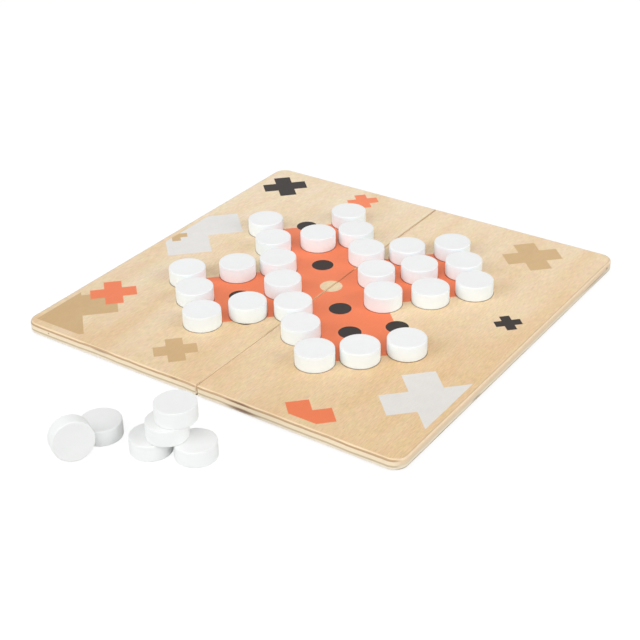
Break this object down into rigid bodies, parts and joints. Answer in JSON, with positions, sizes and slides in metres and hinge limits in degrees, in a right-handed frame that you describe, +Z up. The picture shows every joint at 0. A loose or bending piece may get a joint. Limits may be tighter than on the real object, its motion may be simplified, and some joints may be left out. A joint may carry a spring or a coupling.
{
  "type": "peg solitaire game",
  "caption": "Square birch plywood game board that folds in half on brass hinges, printed with a cross of spots and plus signs, with loose white wooden discs to jump and take.",
  "frame": {"origin": "middle of the footprint of the whole set, the unfolded board and the loose discs in front of it, on the table that its felt pads and those discs stand on; the middle of the board is 51 mm behind it along +Y", "axes": "+X across the fold towards the right half, +Y along the fold away from the loose discs, +Z up out of the printed face"},
  "size_m": [0.3, 0.402, 0.033],
  "materials": {
    "birch_plywood": "clear matt lacquer on sanded birch plywood",
    "orange_ink": "flat screen-printed ink, sunk into the wood",
    "black_ink": "flat screen-printed ink, sunk into the wood",
    "tan_ink": "flat screen-printed ink, sunk into the wood",
    "grey_ink": "flat screen-printed ink, sunk into the wood",
    "white_paint": "smooth matt white paint on turned wood",
    "brass": "brushed brass",
    "felt": "pressed wool felt"
  },
  "bodies": {
    "left_half": {"panel_left": "birch_plywood", "orange_print_left": "orange_ink", "black_print_left": "black_ink", "tan_print_left": "tan_ink", "grey_print_left": "grey_ink", "near_hinge_leaf_left": "brass", "far_hinge_leaf_left": "brass", "near_hinge_pin": "brass", "far_hinge_pin": "brass", "hinge_screws_left": "brass", "felt_pads_left": "felt"},
    "right_half": {"panel_right": "birch_plywood", "orange_print_right": "orange_ink", "black_print_right": "black_ink", "tan_print_right": "tan_ink", "grey_print_right": "grey_ink", "near_hinge_leaf_right": "brass", "far_hinge_leaf_right": "brass", "hinge_screws_right": "brass", "felt_pads_right": "felt"},
    "disc_c1": {"disc_c1": "white_paint"},
    "disc_e1": {"disc_e1": "white_paint"},
    "disc_c2": {"disc_c2": "white_paint"},
    "disc_d2": {"disc_d2": "white_paint"},
    "disc_e2": {"disc_e2": "white_paint"},
    "disc_a3": {"disc_a3": "white_paint"},
    "disc_b3": {"disc_b3": "white_paint"},
    "disc_c3": {"disc_c3": "white_paint"},
    "disc_e3": {"disc_e3": "white_paint"},
    "disc_a4": {"disc_a4": "white_paint"},
    "disc_c4": {"disc_c4": "white_paint"},
    "disc_a5": {"disc_a5": "white_paint"},
    "disc_b5": {"disc_b5": "white_paint"},
    "disc_c5": {"disc_c5": "white_paint"},
    "disc_f3": {"disc_f3": "white_paint"},
    "disc_g3": {"disc_g3": "white_paint"},
    "disc_e4": {"disc_e4": "white_paint"},
    "disc_f4": {"disc_f4": "white_paint"},
    "disc_g4": {"disc_g4": "white_paint"},
    "disc_e5": {"disc_e5": "white_paint"},
    "disc_f5": {"disc_f5": "white_paint"},
    "disc_g5": {"disc_g5": "white_paint"},
    "disc_c6": {"disc_c6": "white_paint"},
    "disc_c7": {"disc_c7": "white_paint"},
    "disc_d7": {"disc_d7": "white_paint"},
    "disc_e7": {"disc_e7": "white_paint"},
    "disc_pile_left": {"disc_pile_left": "white_paint"},
    "disc_pile_right": {"disc_pile_right": "white_paint"},
    "disc_pile_middle": {"disc_pile_middle": "white_paint"},
    "disc_pile_top": {"disc_pile_top": "white_paint"},
    "disc_prop": {"disc_prop": "white_paint"},
    "disc_leaning": {"disc_leaning": "white_paint"}
  },
  "joints": [
    {"name": "fold", "type": "hinge", "parent": "left_half", "child": "right_half", "pos_m": [0, 0.051, 0.0015], "axis": [0, 1, 0], "range_deg": [0, 178.6]},
    {"name": "lift_disc_c1", "type": "slide", "parent": "left_half", "child": "disc_c1", "axis": [0, 0, 1], "range_m": [0, 0.04]},
    {"name": "lift_disc_e1", "type": "slide", "parent": "left_half", "child": "disc_e1", "axis": [0, 0, 1], "range_m": [0, 0.04]},
    {"name": "lift_disc_c2", "type": "slide", "parent": "left_half", "child": "disc_c2", "axis": [0, 0, 1], "range_m": [0, 0.04]},
    {"name": "lift_disc_d2", "type": "slide", "parent": "left_half", "child": "disc_d2", "axis": [0, 0, 1], "range_m": [0, 0.04]},
    {"name": "lift_disc_e2", "type": "slide", "parent": "left_half", "child": "disc_e2", "axis": [0, 0, 1], "range_m": [0, 0.04]},
    {"name": "lift_disc_a3", "type": "slide", "parent": "left_half", "child": "disc_a3", "axis": [0, 0, 1], "range_m": [0, 0.04]},
    {"name": "lift_disc_b3", "type": "slide", "parent": "left_half", "child": "disc_b3", "axis": [0, 0, 1], "range_m": [0, 0.04]},
    {"name": "lift_disc_c3", "type": "slide", "parent": "left_half", "child": "disc_c3", "axis": [0, 0, 1], "range_m": [0, 0.04]},
    {"name": "lift_disc_e3", "type": "slide", "parent": "left_half", "child": "disc_e3", "axis": [0, 0, 1], "range_m": [0, 0.04]},
    {"name": "lift_disc_a4", "type": "slide", "parent": "left_half", "child": "disc_a4", "axis": [0, 0, 1], "range_m": [0, 0.04]},
    {"name": "lift_disc_c4", "type": "slide", "parent": "left_half", "child": "disc_c4", "axis": [0, 0, 1], "range_m": [0, 0.04]},
    {"name": "lift_disc_a5", "type": "slide", "parent": "left_half", "child": "disc_a5", "axis": [0, 0, 1], "range_m": [0, 0.04]},
    {"name": "lift_disc_b5", "type": "slide", "parent": "left_half", "child": "disc_b5", "axis": [0, 0, 1], "range_m": [0, 0.04]},
    {"name": "lift_disc_c5", "type": "slide", "parent": "left_half", "child": "disc_c5", "axis": [0, 0, 1], "range_m": [0, 0.04]},
    {"name": "lift_disc_f3", "type": "slide", "parent": "right_half", "child": "disc_f3", "axis": [0, 0, 1], "range_m": [0, 0.04]},
    {"name": "lift_disc_g3", "type": "slide", "parent": "right_half", "child": "disc_g3", "axis": [0, 0, 1], "range_m": [0, 0.04]},
    {"name": "lift_disc_e4", "type": "slide", "parent": "right_half", "child": "disc_e4", "axis": [0, 0, 1], "range_m": [0, 0.04]},
    {"name": "lift_disc_f4", "type": "slide", "parent": "right_half", "child": "disc_f4", "axis": [0, 0, 1], "range_m": [0, 0.04]},
    {"name": "lift_disc_g4", "type": "slide", "parent": "right_half", "child": "disc_g4", "axis": [0, 0, 1], "range_m": [0, 0.04]},
    {"name": "lift_disc_e5", "type": "slide", "parent": "right_half", "child": "disc_e5", "axis": [0, 0, 1], "range_m": [0, 0.04]},
    {"name": "lift_disc_f5", "type": "slide", "parent": "right_half", "child": "disc_f5", "axis": [0, 0, 1], "range_m": [0, 0.04]},
    {"name": "lift_disc_g5", "type": "slide", "parent": "right_half", "child": "disc_g5", "axis": [0, 0, 1], "range_m": [0, 0.04]},
    {"name": "lift_disc_c6", "type": "slide", "parent": "right_half", "child": "disc_c6", "axis": [0, 0, 1], "range_m": [0, 0.04]},
    {"name": "lift_disc_c7", "type": "slide", "parent": "right_half", "child": "disc_c7", "axis": [0, 0, 1], "range_m": [0, 0.04]},
    {"name": "lift_disc_d7", "type": "slide", "parent": "right_half", "child": "disc_d7", "axis": [0, 0, 1], "range_m": [0, 0.04]},
    {"name": "lift_disc_e7", "type": "slide", "parent": "right_half", "child": "disc_e7", "axis": [0, 0, 1], "range_m": [0, 0.04]},
    {"name": "slide_disc_pile_left", "type": "slide", "parent": "left_half", "child": "disc_pile_left", "axis": [0, -1, 0], "range_m": [0, 0.04]},
    {"name": "slide_disc_pile_right", "type": "slide", "parent": "left_half", "child": "disc_pile_right", "axis": [0.8, -0.6, 0], "range_m": [0, 0.04]},
    {"name": "lift_disc_pile_middle", "type": "slide", "parent": "left_half", "child": "disc_pile_middle", "axis": [0, 0, 1], "range_m": [0, 0.03]},
    {"name": "lift_disc_pile_top", "type": "slide", "parent": "disc_pile_middle", "child": "disc_pile_top", "axis": [0, 0, 1], "range_m": [0, 0.03]},
    {"name": "slide_disc_prop", "type": "slide", "parent": "left_half", "child": "disc_prop", "axis": [-0.8, 0.6, 0], "range_m": [0, 0.04]},
    {"name": "slide_disc_leaning", "type": "slide", "parent": "left_half", "child": "disc_leaning", "axis": [-0.515, -0.8572, 0], "range_m": [0, 0.04]}
  ]
}
